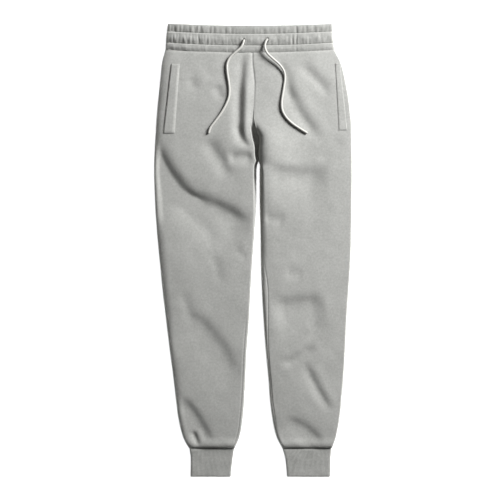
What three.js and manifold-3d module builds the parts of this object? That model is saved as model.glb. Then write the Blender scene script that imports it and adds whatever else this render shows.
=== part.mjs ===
// Jogger sweatpants in heavy brushed fleece, laid flat and face up.
// Millimetres. +X is to the right seen from above, +Y is towards the waist and +Z is up.
// The origin is on the floor, under the middle of the garment.
// Names say the wearer's right and left, so the right leg lies on the -X side.
// "down" is the distance from the top of the waistband, along the garment.

import * as THREE from 'three';
import { mergeVertices } from 'three/addons/utils/BufferGeometryUtils.js';
import Module from 'manifold-3d';

const { lerp, smoothstep, degToRad } = THREE.MathUtils;

// Driving dimensions
const LENGTH = 1020;
const BAND_HEIGHT = 59.5;
const CUFF_TOP = 956.5;
const CROTCH = 310;
const SEAM_GAP = 0.3;

// Thickness of each cloth. The band is fleece folded over elastic, the cuff is rib folded double.
const CLOTH = 3;
const BAND_WALL = 5.4;
const CUFF_WALL = 3;
const WELT_WALL = 2;

// Heights of the outer face above the floor
const PRESSED_TOP = 6.4;
const BAND_TOP = 13;
const CUFF_TOP_FACE = 8;
const SIDE_SEAM = 4.6;

// Height of the fronts down the garment: the elastic presses them at the waist, air fills the legs
const LOOSE_TOP = [
  { down: BAND_HEIGHT, height: 10.6 },
  { down: 90, height: 12.4 },
  { down: 150, height: 14.4 },
  { down: 260, height: 15.6 },
  { down: 860, height: 15.2 },
  { down: 930, height: 13.6 },
];

// How far the cloth takes to round over at its sides, and how the fronts fall towards them
const SIDE_ROUND = { right: 18, left: 7 };
const BACK_ROUND = 4.5;
const EDGE_FALL = { right: 2.6, left: 1, reach: 26 };

// Outline of the hips and legs on the wearer's right and left
const OUTLINE = [
  { down: 59.5, right: -197.4, left: 183.2 },
  { down: 73, right: -202.6, left: 192.9 },
  { down: 87, right: -204.9, left: 197.4 },
  { down: 116, right: -208, left: 205.5 },
  { down: 150, right: -211.6, left: 212.3 },
  { down: 195, right: -216.1, left: 218.8 },
  { down: 240, right: -219.3, left: 222.2 },
  { down: 330, right: -223, left: 223 },
  { down: 397, right: -221.1, left: 222.6 },
  { down: 465, right: -217, left: 221.7 },
  { down: 532, right: -210.7, left: 219.5 },
  { down: 600, right: -204, left: 215 },
  { down: 667, right: -196.1, left: 210.5 },
  { down: 735, right: -187.8, left: 207.3 },
  { down: 802, right: -179, left: 203.3 },
  { down: 847, right: -173.8, left: 199.2 },
  { down: 881, right: -169.5, left: 195.9 },
  { down: 915, right: -162.6, left: 190.2 },
  { down: 937, right: -155.4, left: 185 },
  { down: 948, right: -149.5, left: 180.6 },
  { down: CUFF_TOP, right: -143.9, left: 176.7 },
];

// The centre seam wanders a little and bends to the left leg at the crotch
const CENTRE_SEAM = [
  { down: BAND_HEIGHT, x: -2 },
  { down: 78, x: -1.9 },
  { down: 118, x: 1.5 },
  { down: 136, x: 2.8 },
  { down: 206, x: 1.7 },
  { down: 219, x: 0.6 },
  { down: 240, x: -1.7 },
  { down: 258, x: 0.6 },
  { down: 276, x: 5.1 },
  { down: 296, x: 8.4 },
  { down: CROTCH, x: 12.2 },
];

// Inner edges of the two legs below the crotch
const INSEAMS = [
  { down: CROTCH, right: 12.05, left: 12.35 },
  { down: 320, right: 8, left: 15.2 },
  { down: 332, right: 7.1, left: 14.6 },
  { down: 397, right: 6.4, left: 14.7 },
  { down: 465, right: 3.3, left: 16.3 },
  { down: 532, right: -1.5, left: 17.2 },
  { down: 600, right: -5.5, left: 19.5 },
  { down: 667, right: -8.9, left: 23.3 },
  { down: 735, right: -14.1, left: 28.2 },
  { down: 802, right: -17.2, left: 34.5 },
  { down: 847, right: -19.7, left: 37.7 },
  { down: 881, right: -22.6, left: 42 },
  { down: 915, right: -26.7, left: 48 },
  { down: 937, right: -32.7, left: 55 },
  { down: 948, right: -37.7, left: 60.9 },
  { down: CUFF_TOP, right: -41.7, left: 65.6 },
];

// How softly each front rounds down at its inner edge, from the centre seam into the leg
const INNER_ROUND = [
  { down: 200, right: 9, left: 9 },
  { down: 228, right: 7, left: 17 },
  { down: 251, right: 8, left: 23 },
  { down: 276, right: 7, left: 18 },
  { down: 300, right: 6.5, left: 12 },
  { down: 345, right: 6, left: 14 },
  { down: 420, right: 7, left: 15 },
];

// Folds of the fronts. Each is a trough from one point to another, bowed to the lower left,
// with its half width on the left and on the right of it and a lip that rises on its right.
const FOLDS = [
  { fromX: -24, fromDown: 62, toX: -32, toDown: 262, bow: 2, depth: 2.6, left: 12, right: 7.5, lip: 2.6 },
  { fromX: -33, fromDown: 130, toX: -32, toDown: 270, bow: 1, depth: 2.6, left: 13, right: 8.5, lip: 2.6 },
  { fromX: -34, fromDown: 226, toX: -12, toDown: 280, bow: 5, depth: 3.6, left: 10, right: 6, lip: 1.5 },
  { fromX: -52, fromDown: 301, toX: -4, toDown: 300, bow: 0, depth: 4.2, left: 13, right: 9, lip: 1 },
  { fromX: -212, fromDown: 282, toX: -124, toDown: 402, bow: 18, depth: 5.6, left: 20, right: 12, lip: 1.7 },
  { fromX: -146, fromDown: 395, toX: -10, toDown: 455, bow: -10, depth: 5, left: 16, right: 12, lip: 1.6 },
  { fromX: -103, fromDown: 262, toX: -50, toDown: 341, bow: -2, depth: 3.8, left: 15, right: 12, lip: 1 },
  { fromX: -150, fromDown: 420, toX: -80, toDown: 500, bow: 0, depth: 1.6, left: 16, right: 18, lip: 0.5 },
  { fromX: -160, fromDown: 605, toX: -138, toDown: 672, bow: 0, depth: 1.4, left: 12, right: 14, lip: 0.4 },
  { fromX: -138, fromDown: 660, toX: -42, toDown: 797, bow: -14, depth: 4.4, left: 16, right: 14, lip: 1.4 },
  { fromX: -157, fromDown: 836, toX: -99, toDown: 942, bow: -8, depth: 4.4, left: 10, right: 9, lip: 1.6 },
  { fromX: -137, fromDown: 918, toX: -124, toDown: 948, bow: 0, depth: 3.2, left: 6, right: 6, lip: 1.2 },
  { fromX: 58, fromDown: 80, toX: 84, toDown: 172, bow: -3, depth: 2, left: 10, right: 10, lip: 0.6 },
  { fromX: 70, fromDown: 140, toX: 142, toDown: 258, bow: 4, depth: 3.4, left: 15, right: 13, lip: 1.2 },
  { fromX: 108, fromDown: 92, toX: 168, toDown: 158, bow: 0, depth: 2.8, left: 13, right: 13, lip: 0.8 },
  { fromX: 60, fromDown: 338, toX: 152, toDown: 334, bow: 0, depth: 2.8, left: 16, right: 17, lip: 0.8 },
  { fromX: 62, fromDown: 646, toX: 152, toDown: 636, bow: 0, depth: 3, left: 18, right: 19, lip: 0.9 },
  { fromX: 68, fromDown: 768, toX: 136, toDown: 724, bow: 3, depth: 2.6, left: 11, right: 9, lip: 1 },
  { fromX: 116, fromDown: 768, toX: 170, toDown: 868, bow: 2, depth: 2.6, left: 12, right: 9, lip: 0.9 },
  { fromX: 74, fromDown: 889, toX: 149, toDown: 943, bow: -5, depth: 4.8, left: 14, right: 12, lip: 1.8 },
];

// The fronts stand up in a soft roll on both sides of the crotch, which reaches further down
// the legs than up the body
const CROTCH_ROLL = { down: 280, above: 62, below: 120, from: 22, across: 55 };
const ROLL_RISE = { right: 7, left: 12.5 };

// Where the fronts leave the butted centre seam and turn down to meet the backs
const PIT_START = 213;
const PIT_END = 246;

// Stations down the panels: the spacing that each stretch needs for its folds
const STRETCHES = [
  { to: 210, steps: 5, backSteps: 2 },
  { to: 262, steps: 5, backSteps: 1 },
  { to: CROTCH, steps: 6, backSteps: 3 },
  { to: 344, steps: 3, backSteps: 2 },
  { to: 452, steps: 8, backSteps: 2 },
  { to: 640, steps: 4, backSteps: 2 },
  { to: 800, steps: 7, backSteps: 2 },
  { to: 848, steps: 1, backSteps: 1 },
  { to: 946, steps: 6, backSteps: 3 },
  { to: CUFF_TOP - SEAM_GAP / 2, steps: 3, backSteps: 1 },
];

// Waistband: rows with their sag in mid front, the height of the cloth against its usual top,
// and how much of the gathers each row shows. Stitching holds the gathers flat.
const BAND_ROWS = [
  { down: 0, sag: 4.7, rise: -3, gather: 0 },
  { down: 2.5, sag: 4.8, rise: 0, gather: 0.5 },
  { down: 9, sag: 5.3, rise: 0.4, gather: 1 },
  { down: 18.5, sag: 6, rise: -3.4, gather: 0 },
  { down: 26, sag: 6.2, rise: 0.8, gather: 0.9 },
  { down: 34, sag: 6.4, rise: 0.2, gather: 1 },
  { down: 44, sag: 6.5, rise: -3.4, gather: 0 },
  { down: 50, sag: 6.5, rise: -0.8, gather: 0.35 },
  { down: BAND_HEIGHT - SEAM_GAP / 2, sag: 6.5, rise: -3.4, gather: 0 },
];
const BAND_SIDES = [
  { down: 0, right: -191.8, left: 178.8 },
  { down: 33, right: -195.9, left: 180.1 },
  { down: BAND_HEIGHT, right: -197.3, left: 183 },
];
const BAND_SAG = 6.5;
const SAG_FADES_BY = 150;
const GATHERS = 44;
const GATHER_RISE = 0.85;

// Cuffs: outline of each at its seam, in the rib and at the folded end
const CUFF_ROWS = [
  { down: CUFF_TOP + SEAM_GAP / 2, rise: 0 },
  { down: 968, rise: 0.3 },
  { down: 990, rise: 0.2 },
  { down: 1015, rise: 0 },
  { down: LENGTH, rise: -1.6 },
];
const CUFF_SIDES = {
  right: [
    { down: CUFF_TOP, min: -143.4, max: -42 },
    { down: 982, min: -140.5, max: -46.5 },
    { down: LENGTH, min: -141, max: -50.1 },
  ],
  left: [
    { down: CUFF_TOP, min: 66, max: 176.5 },
    { down: 982, min: 72.8, max: 174.3 },
    { down: LENGTH, min: 76.4, max: 173.6 },
  ],
};
const RIBS = 22;
const RIB_RISE = 0.45;

// Pocket welts: inner and outer edge at the top and at the bottom
const WELTS = {
  right: { topDown: 91, endDown: 248.5, topInner: -165, topOuter: -184, endInner: -176, endOuter: -202 },
  left: { topDown: 90, endDown: 242, topInner: 184, topOuter: 194.5, endInner: 191.5, endOuter: 211 },
};
const WELT_LIFT = 0.5;

// Drawcord: each free end leaves the band through a worked buttonhole and lies on the front.
// Its points give x, the distance down and the height of its middle.
const CORD_DIAMETER = 5;
const BUTTONHOLE = { halfWidth: 3.6, halfLength: 8, floor: 8.8 };
const CORD_ROUTES = {
  right: [
    [-20.8, 38, 14.2], [-22.6, 46, 16.2], [-27.5, 55, 16.8], [-38.8, 65.5, 16.4], [-52.8, 79.2, 15.8],
    [-58.6, 92.9, 15.8], [-58.2, 112, 16.5], [-55.2, 132.5, 17.2], [-53.4, 151.7, 17.5],
    [-54.8, 167, 17.9], [-61.3, 184.3, 18.5], [-73.2, 205, 19], [-87.2, 223.9, 19.3], [-96, 236, 19.3],
    [-100, 248, 19.3],
  ],
  left: [
    [31.6, 36, 14.2], [27.4, 45, 16.2], [26.2, 56, 18.2], [31.6, 68.9, 19.4], [43.8, 81, 19.2],
    [59.3, 94.7, 17.6], [68.7, 108.5, 16], [71.2, 124, 15.4], [68.7, 144.7, 16.1], [65.1, 167, 17.7],
    [63.6, 181, 18.8], [65.1, 196.2, 19.6], [73, 211.7, 20], [86.7, 225.7, 20], [104.1, 237.6, 19.1],
    [121.2, 248, 17.8],
  ],
};
const CORD_STEPS = 26;
const CORD_SIDES = 8;

const SIDES = { right: -1, left: 1 };

// A smooth curve through one column of a table, level beyond its ends and without overshoot
function track(table, column) {
  const at = table.map((row) => row.down);
  const value = table.map((row) => row[column]);
  const rise = value.slice(1).map((next, k) => (next - value[k]) / (at[k + 1] - at[k]));
  const slope = value.map((_, k) => {
    if (k === 0) return rise[0];
    if (k === value.length - 1) return rise[k - 1];
    const before = rise[k - 1];
    const after = rise[k];
    return before * after <= 0 ? 0 : (2 * before * after) / (before + after);
  });
  return (down) => {
    if (down <= at[0]) return value[0];
    if (down >= at[at.length - 1]) return value[value.length - 1];
    const k = at.findIndex((next) => next > down) - 1;
    const span = at[k + 1] - at[k];
    const t = (down - at[k]) / span;
    const start = (1 + 2 * t) * (1 - t) ** 2 * value[k] + t * (1 - t) ** 2 * span * slope[k];
    const end = t * t * (3 - 2 * t) * value[k + 1] + t * t * (t - 1) * span * slope[k + 1];
    return start + end;
  };
}

const centreSeam = track(CENTRE_SEAM, 'x');
const bandSide = { right: track(BAND_SIDES, 'right'), left: track(BAND_SIDES, 'left') };
const outerEdge = { right: track(OUTLINE, 'right'), left: track(OUTLINE, 'left') };
const inseam = { right: track(INSEAMS, 'right'), left: track(INSEAMS, 'left') };
const innerRound = { right: track(INNER_ROUND, 'right'), left: track(INNER_ROUND, 'left') };
const looseTop = track(LOOSE_TOP, 'height');

function innerEdge(side, down) {
  if (down > CROTCH) return inseam[side](down);
  return centreSeam(down) + (SIDES[side] * SEAM_GAP) / 2;
}

// The band's lines hang lower in mid front than at the side seams
function sagAt(x, sag) {
  const middle = (bandSide.right(BAND_HEIGHT) + bandSide.left(BAND_HEIGHT)) / 2;
  const half = (bandSide.left(BAND_HEIGHT) - bandSide.right(BAND_HEIGHT)) / 2;
  return sag * Math.max(0, 1 - ((x - middle) / half) ** 2);
}

function bodySag(x, down) {
  return sagAt(x, BAND_SAG) * (1 - smoothstep(down, BAND_HEIGHT, SAG_FADES_BY));
}

function toPoint(x, down, z) {
  return new THREE.Vector3(x, LENGTH / 2 - down, z);
}

// Height that one fold adds at a place on the fronts
function foldHeight(fold, x, down) {
  const runX = fold.toX - fold.fromX;
  const runDown = fold.toDown - fold.fromDown;
  const length = Math.hypot(runX, runDown);
  const along = ((x - fold.fromX) * runX + (down - fold.fromDown) * runDown) / length ** 2;
  if (along < -0.3 || along > 1.3) return 0;
  const t = Math.min(1, Math.max(0, along));
  const across = ((down - fold.fromDown) * runX - (x - fold.fromX) * runDown) / length;
  const off = across - fold.bow * 4 * t * (1 - t);
  const ends = smoothstep(along, -0.1, 0.25) * (1 - smoothstep(along, 0.75, 1.1));
  const width = off > 0 ? fold.left : fold.right;
  const trough = fold.depth * Math.exp(-((off / width) ** 2));
  const lip = fold.lip * Math.exp(-(((off + 2 * fold.right) / (1.2 * fold.right)) ** 2));
  return ends * (lip - trough);
}

function crotchRoll(side, x, down) {
  const away = Math.abs(x - innerEdge(side, down)) - CROTCH_ROLL.from;
  const reach = down < CROTCH_ROLL.down ? CROTCH_ROLL.above : CROTCH_ROLL.below;
  const along = (down - CROTCH_ROLL.down) / reach;
  return ROLL_RISE[side] * Math.exp(-(along ** 2) - (away / CROTCH_ROLL.across) ** 2);
}

// The fronts fall towards the sides, and below the crotch towards the inseams too. They fall
// more at the edges that lie towards the wearer's right.
function edgeFall(side, x, down) {
  const fromOuter = Math.abs(outerEdge[side](down) - x);
  const fromInner = Math.abs(innerEdge(side, down) - x);
  const belowCrotch = smoothstep(down, CROTCH - 30, CROTCH + 60);
  const near = (distance) => Math.exp(-distance / EDGE_FALL.reach);
  const other = side === 'right' ? 'left' : 'right';
  return EDGE_FALL[side] * near(fromOuter) + EDGE_FALL[other] * belowCrotch * near(fromInner);
}

// Folds die out before they reach the sides of a leg
function foldShare(side, x, down) {
  const fade = 18;
  const fromOuter = smoothstep(Math.abs(outerEdge[side](down) - x), 0, fade);
  const fromInner = smoothstep(Math.abs(innerEdge(side, down) - x), 0, fade);
  return fromOuter * lerp(1, fromInner, smoothstep(down, PIT_START, CROTCH));
}

// The front rounds down to the cuff's height at its seam, and to the waistband's
function endTuck(down, height) {
  const reach = 11;
  const toCuff = Math.min(1, Math.max(0, (CUFF_TOP - down) / reach));
  const toBand = Math.min(1, Math.max(0, (down - BAND_HEIGHT) / reach));
  const cuffDrop = (height - CUFF_TOP_FACE) * (1 - Math.sqrt(1 - (1 - toCuff) ** 2));
  return height - cuffDrop - 0.8 * (1 - toBand) ** 2;
}

// Height of the outer face of the front, away from its rounded sides
function topHeight(side, x, down) {
  const relief = FOLDS.reduce((sum, fold) => sum + foldHeight(fold, x, down), 0);
  const level = looseTop(down) + crotchRoll(side, x, down) - edgeFall(side, x, down);
  const height = level + relief * foldShare(side, x, down);
  const softness = 0.4;
  const over = (height - PRESSED_TOP) / softness;
  return endTuck(down, PRESSED_TOP + softness * Math.log1p(Math.exp(over)));
}

// One front's section across the garment: its edges, their heights and how they round
function frontSection(side, down) {
  const way = SIDES[side];
  const inX = innerEdge(side, down);
  const outX = outerEdge[side](down);
  const seamHeight = SIDE_SEAM + SEAM_GAP / 2;
  const butted = topHeight(side, inX, down);
  const pit = lerp(butted, PRESSED_TOP, smoothstep(down, PIT_START, PIT_END));
  const inZ = lerp(pit, seamHeight, smoothstep(down, 275, CROTCH));
  const drop = topHeight(side, outX, down) - seamHeight;
  const widest = drop ** 2 / CLOTH;
  const outRound = Math.min(SIDE_ROUND[side], widest);
  const inRound = down > 345 ? Math.min(innerRound[side](down), widest) : innerRound[side](down);
  return { way, inX, outX, inZ, outZ: seamHeight, inRound, outRound, turned: smoothstep(down, 225, 270) };
}

// A place on one front and the way its cloth faces there. The rounded sides are quarter
// ellipses, so an angle of 0 is at the seam and 90 degrees is where the side meets the top.
function cornerPlace(side, down, section, edge, angle) {
  const inner = edge === 'in';
  const edgeX = inner ? section.inX : section.outX;
  const edgeZ = inner ? section.inZ : section.outZ;
  const round = inner ? section.inRound : section.outRound;
  const outward = inner ? -section.way : section.way;
  const turned = inner ? section.turned : 1;
  const x = edgeX - outward * round * (1 - Math.cos(angle));
  const top = topHeight(side, x, down);
  const z = lerp(edgeZ, top, Math.sin(angle));
  const facing = Math.atan2(round * Math.sin(angle), Math.max(0.5, top - edgeZ) * Math.cos(angle));
  const tilt = lerp(Math.PI / 2, facing, turned);
  return { x, z, facingX: outward * Math.cos(tilt), facingZ: Math.sin(tilt) };
}

function placeAtX(side, down, x) {
  const section = frontSection(side, down);
  const fromOuter = Math.abs(section.outX - x);
  if (fromOuter < section.outRound) {
    return cornerPlace(side, down, section, 'out', Math.acos(1 - fromOuter / section.outRound));
  }
  return { x, z: topHeight(side, x, down), facingX: 0, facingZ: 1 };
}

// A point on the face, or moved off it along the way the cloth faces
function offFace(place, down, distance) {
  const x = place.x + place.facingX * distance;
  const actualDown = down + bodySag(place.x, down);
  return toPoint(x, actualDown, place.z + place.facingZ * distance);
}

// Columns across a front, closer together towards the centre seam
const FRONT_COLUMNS = 16;
const FRONT_CORNER = [0, 32, 62].map(degToRad);
const FRONT_CROWDING = 1.25;

function frontPlaces(side, down) {
  const section = frontSection(side, down);
  const flatStart = section.inX + section.way * section.inRound;
  const flatEnd = section.outX - section.way * section.outRound;
  const inner = FRONT_CORNER.map((angle) => cornerPlace(side, down, section, 'in', angle));
  const outer = FRONT_CORNER.map((angle) => cornerPlace(side, down, section, 'out', angle)).reverse();
  const flat = Array.from({ length: FRONT_COLUMNS }, (_, k) => {
    const x = lerp(flatStart, flatEnd, (k / (FRONT_COLUMNS - 1)) ** FRONT_CROWDING);
    return { x, z: topHeight(side, x, down), facingX: 0, facingZ: 1 };
  });
  return [...inner, ...flat, ...outer];
}

// Distances down a panel, from the band's seam to the cuff's
function stations(stepsColumn) {
  const list = [BAND_HEIGHT + SEAM_GAP / 2];
  for (const stretch of STRETCHES) {
    const start = list[list.length - 1];
    for (let step = 1; step <= stretch[stepsColumn]; step += 1) {
      list.push(lerp(start, stretch.to, step / stretch[stepsColumn]));
    }
  }
  return list;
}

// A closed solid from points and faces, turned so that its faces point out
function solid(points, faces) {
  const volume = faces.reduce((sum, [a, b, c]) => {
    const cross = new THREE.Vector3().crossVectors(points[b], points[c]);
    return sum + points[a].dot(cross);
  }, 0);
  const outward = volume < 0 ? faces.map(([a, b, c]) => [a, c, b]) : faces;
  const geometry = new THREE.BufferGeometry().setFromPoints(points);
  geometry.setIndex(outward.flat());
  geometry.computeVertexNormals();
  return geometry;
}

// A wall between an outer and an inner grid of points, rimmed all round. A closed wall
// joins its last column to its first, and its inner grid may have fewer rows.
function wall(outerPoints, innerPoints, closed = false) {
  const points = [];
  const faces = [];
  const number = (grid) => grid.map((row) => row.map((point) => points.push(point) - 1));
  const quad = (a, b, c, d) => faces.push([a, b, c], [a, c, d]);
  const outer = number(outerPoints);
  const inner = number(innerPoints);
  const columns = outer[0].length;
  const last = columns - 1;
  const next = (column) => (column + 1) % columns;
  const spans = closed ? columns : last;
  for (let column = 0; column < spans; column += 1) {
    const beside = next(column);
    for (let row = 0; row + 1 < outer.length; row += 1) {
      quad(outer[row][column], outer[row + 1][column], outer[row + 1][beside], outer[row][beside]);
    }
    for (let row = 0; row + 1 < inner.length; row += 1) {
      quad(inner[row][column], inner[row][beside], inner[row + 1][beside], inner[row + 1][column]);
    }
    quad(outer[0][column], outer[0][beside], inner[0][beside], inner[0][column]);
    quad(outer.at(-1)[beside], outer.at(-1)[column], inner.at(-1)[column], inner.at(-1)[beside]);
  }
  for (let row = 0; !closed && row + 1 < outer.length; row += 1) {
    quad(outer[row + 1][0], outer[row][0], inner[row][0], inner[row + 1][0]);
    quad(outer[row][last], outer[row + 1][last], inner[row + 1][last], inner[row][last]);
  }
  return solid(points, faces);
}

function frontPanel(side) {
  const rows = stations('steps').map((down) => ({ down, places: frontPlaces(side, down) }));
  const face = (distance) => rows.map(({ down, places }) => places.map((p) => offFace(p, down, distance)));
  return wall(face(0), face(-CLOTH));
}

// Backs lie flat on the floor and turn up to the side seams, and below the crotch to the inseams
const BACK_COLUMNS = 5;
const BACK_CORNER = [90, 60, 30].map(degToRad);

function backPlaces(side, down) {
  const way = SIDES[side];
  const inX = innerEdge(side, down);
  const outX = outerEdge[side](down);
  const edgeHeight = SIDE_SEAM - SEAM_GAP / 2;
  const inTurn = smoothstep(down, 290, CROTCH);
  const corner = (edgeX, outward, turn, angle) => ({
    x: edgeX - outward * BACK_ROUND * (1 - Math.sin(angle)),
    z: edgeHeight * turn * (1 - Math.cos(angle)),
    facingX: outward * Math.sin(angle * turn),
    facingZ: -Math.cos(angle * turn),
  });
  const inner = BACK_CORNER.map((angle) => corner(inX, -way, inTurn, angle));
  const outer = BACK_CORNER.map((angle) => corner(outX, way, 1, angle)).reverse();
  const flat = Array.from({ length: BACK_COLUMNS }, (_, k) => ({
    x: lerp(inX + way * BACK_ROUND, outX - way * BACK_ROUND, k / (BACK_COLUMNS - 1)),
    z: 0,
    facingX: 0,
    facingZ: -1,
  }));
  return [...inner, ...flat, ...outer];
}

function backPanel(side) {
  const rows = stations('backSteps').map((down) => ({ down, places: backPlaces(side, down) }));
  const face = (distance) => rows.map(({ down, places }) => places.map((p) => offFace(p, down, distance)));
  return wall(face(0), face(-CLOTH));
}

// A flat tube of cloth lying on the floor, with round sides, a plain slot inside and a relief
// of crests and grooves on its front. Each row gives its down, ends, sag, rise and relief.
function flatTube({ rows, top, wallThickness, sideRound, crests, crestPlace, crestRise }) {
  const backColumns = 8;
  const cornerAngles = [-60, -30, 0, 30, 60].map(degToRad);
  const slotRound = (top - 2 * wallThickness) / 2;
  const slotEnd = wallThickness + slotRound;
  const front = Array.from({ length: 2 * crests + 1 }, (_, k) => k);
  const loop = (row, inside) => {
    const round = inside ? slotRound : sideRound;
    const ceiling = inside ? top - wallThickness : top + row.rise;
    const floor = inside ? wallThickness : 0;
    const inset = inside ? slotEnd : sideRound;
    const start = row.min + inset;
    const end = row.max - inset;
    const middle = (ceiling + floor) / 2;
    const half = (ceiling - floor) / 2;
    const corner = (x, way, angle) => [x + way * round * Math.cos(angle), middle + half * Math.sin(angle)];
    const frontLine = front.map((k) => {
      const relief = inside ? 0 : crestRise(row, k);
      return [lerp(start, end, crestPlace(k / (2 * crests))), ceiling + relief];
    });
    const right = cornerAngles.toReversed().map((angle) => corner(end, 1, angle));
    const back = Array.from({ length: backColumns + 1 }, (_, k) => [lerp(end, start, k / backColumns), floor]);
    const left = cornerAngles.map((angle) => corner(start, -1, angle));
    return [...frontLine, ...right, ...back, ...left].map(([x, z]) => {
      return toPoint(x, row.down + sagAt(x, row.sag), z);
    });
  };
  const outer = rows.map((row) => loop(row, false));
  const inner = [rows[0], rows.at(-1)].map((row) => loop(row, true));
  return wall(outer, inner, true);
}

// Gathers are uneven in spacing and in height, and fullest towards the wearer's right
function gatherPlace(share) {
  return share + 0.006 * Math.sin(31 * share) * Math.sin(Math.PI * share);
}

function gatherRise(row, k) {
  const ends = k === 0 || k === 2 * GATHERS ? 0 : 1;
  const fullness = lerp(1, 0.6, smoothstep(k / (2 * GATHERS), 0.25, 0.4));
  const uneven = 0.55 + 0.45 * Math.sin(0.9 * k + row.down / 7);
  const crest = k % 2 ? 1 : -1;
  return ends * crest * GATHER_RISE * fullness * uneven * row.gather;
}

function waistbandWall() {
  const rows = BAND_ROWS.map((row) => ({
    ...row,
    min: bandSide.right(row.down),
    max: bandSide.left(row.down),
  }));
  return flatTube({
    rows,
    top: BAND_TOP,
    wallThickness: BAND_WALL,
    sideRound: 6,
    crests: GATHERS,
    crestPlace: gatherPlace,
    crestRise: gatherRise,
  });
}

function cuff(side) {
  const min = track(CUFF_SIDES[side], 'min');
  const max = track(CUFF_SIDES[side], 'max');
  return flatTube({
    rows: CUFF_ROWS.map((row) => ({ ...row, sag: 0, min: min(row.down), max: max(row.down) })),
    top: CUFF_TOP_FACE,
    wallThickness: CUFF_WALL,
    sideRound: 4,
    crests: RIBS,
    crestPlace: (share) => share,
    crestRise: (row, k) => (k % 2 ? RIB_RISE : -RIB_RISE),
  });
}

// A pocket welt is a folded strip that follows the face of the front
function pocketWelt(side) {
  const welt = WELTS[side];
  const rows = 9;
  const columns = 4;
  const grid = (distance) => Array.from({ length: rows + 1 }, (_, row) => {
    const share = row / rows;
    const down = lerp(welt.topDown, welt.endDown, share);
    const inner = lerp(welt.topInner, welt.endInner, share);
    const outer = lerp(welt.topOuter, welt.endOuter, share);
    return Array.from({ length: columns + 1 }, (__, column) => {
      return offFace(placeAtX(side, down, lerp(inner, outer, column / columns)), down, distance);
    });
  });
  return wall(grid(WELT_LIFT + WELT_WALL), grid(WELT_LIFT));
}

// The cord's route as a smooth curve
function cordCurve(side) {
  return new THREE.CatmullRomCurve3(CORD_ROUTES[side].map(([x, down, z]) => toPoint(x, down, z)));
}

function drawcord(side) {
  const section = new THREE.Shape();
  for (let k = 0; k < CORD_SIDES; k += 1) {
    const angle = (2 * Math.PI * k) / CORD_SIDES;
    const x = (CORD_DIAMETER / 2) * Math.cos(angle);
    const y = (CORD_DIAMETER / 2) * Math.sin(angle);
    if (k === 0) section.moveTo(x, y);
    else section.lineTo(x, y);
  }
  section.closePath();
  return new THREE.ExtrudeGeometry(section, { steps: CORD_STEPS, extrudePath: cordCurve(side) });
}

// Boolean cuts need closed meshes whose shared vertices are merged
const wasm = await Module();
wasm.setup();

function toManifold(geometry) {
  const bare = geometry.clone();
  bare.deleteAttribute('normal');
  bare.deleteAttribute('uv');
  const merged = mergeVertices(bare, 1e-4);
  const vertProperties = new Float32Array(merged.attributes.position.array);
  const triVerts = new Uint32Array(merged.index.array);
  return new wasm.Manifold(new wasm.Mesh({ numProp: 3, vertProperties, triVerts }));
}

function fromManifold(manifold) {
  const mesh = manifold.getMesh();
  const geometry = new THREE.BufferGeometry();
  geometry.setAttribute('position', new THREE.BufferAttribute(mesh.vertProperties.slice(), 3));
  geometry.setIndex(new THREE.BufferAttribute(mesh.triVerts.slice(), 1));
  geometry.computeVertexNormals();
  return geometry;
}

// The two buttonholes go through the band's outer layer and end in the folded cloth under it
function waistband() {
  const tool = new THREE.CylinderGeometry(1, 1, 1, 14);
  let band = toManifold(waistbandWall());
  for (const [exit, next] of Object.values(CORD_ROUTES)) {
    const hole = tool.clone();
    const height = 2 * (BAND_TOP - BUTTONHOLE.floor);
    hole.rotateX(Math.PI / 2);
    hole.scale(BUTTONHOLE.halfWidth, BUTTONHOLE.halfLength, height);
    const centre = toPoint(...exit).lerp(toPoint(...next), 0.4);
    hole.translate(centre.x, centre.y, BUTTONHOLE.floor + height / 2);
    band = band.subtract(toManifold(hole));
  }
  return fromManifold(band);
}

const fleece = { color: 0xb2b2af, roughness: 0.95, metalness: 0 };
const rib = { color: 0xa3a4a0, roughness: 0.95, metalness: 0 };
const braid = { color: 0xf1efea, roughness: 0.8, metalness: 0 };

function piece(name, geometry, look) {
  const mesh = new THREE.Mesh(geometry, new THREE.MeshStandardMaterial(look));
  mesh.name = name;
  return mesh;
}

const sweatpants = new THREE.Group();
sweatpants.add(piece('waistband', waistband(), fleece));
for (const side of Object.keys(SIDES)) {
  sweatpants.add(piece(`front_${side}`, frontPanel(side), fleece));
  sweatpants.add(piece(`back_${side}`, backPanel(side), fleece));
  sweatpants.add(piece(`cuff_${side}`, cuff(side), rib));
  sweatpants.add(piece(`pocket_welt_${side}`, pocketWelt(side), fleece));
  sweatpants.add(piece(`drawcord_${side}`, drawcord(side), braid));
}

export default sweatpants;
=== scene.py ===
# %% [markdown]
# # Fleece joggers laid flat
# This notebook dresses a plain model of jogger sweatpants in brushed fleece, rib knit and braided cord.
# The model gives the place and the size of every piece, and Blender gives what the eye sees: folds,
# gathers, stitches and yarn. Loading it first fixes the frame that everything else is measured in.

# %% Load the model
import math

import bpy
import numpy as np
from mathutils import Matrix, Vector, noise


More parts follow.
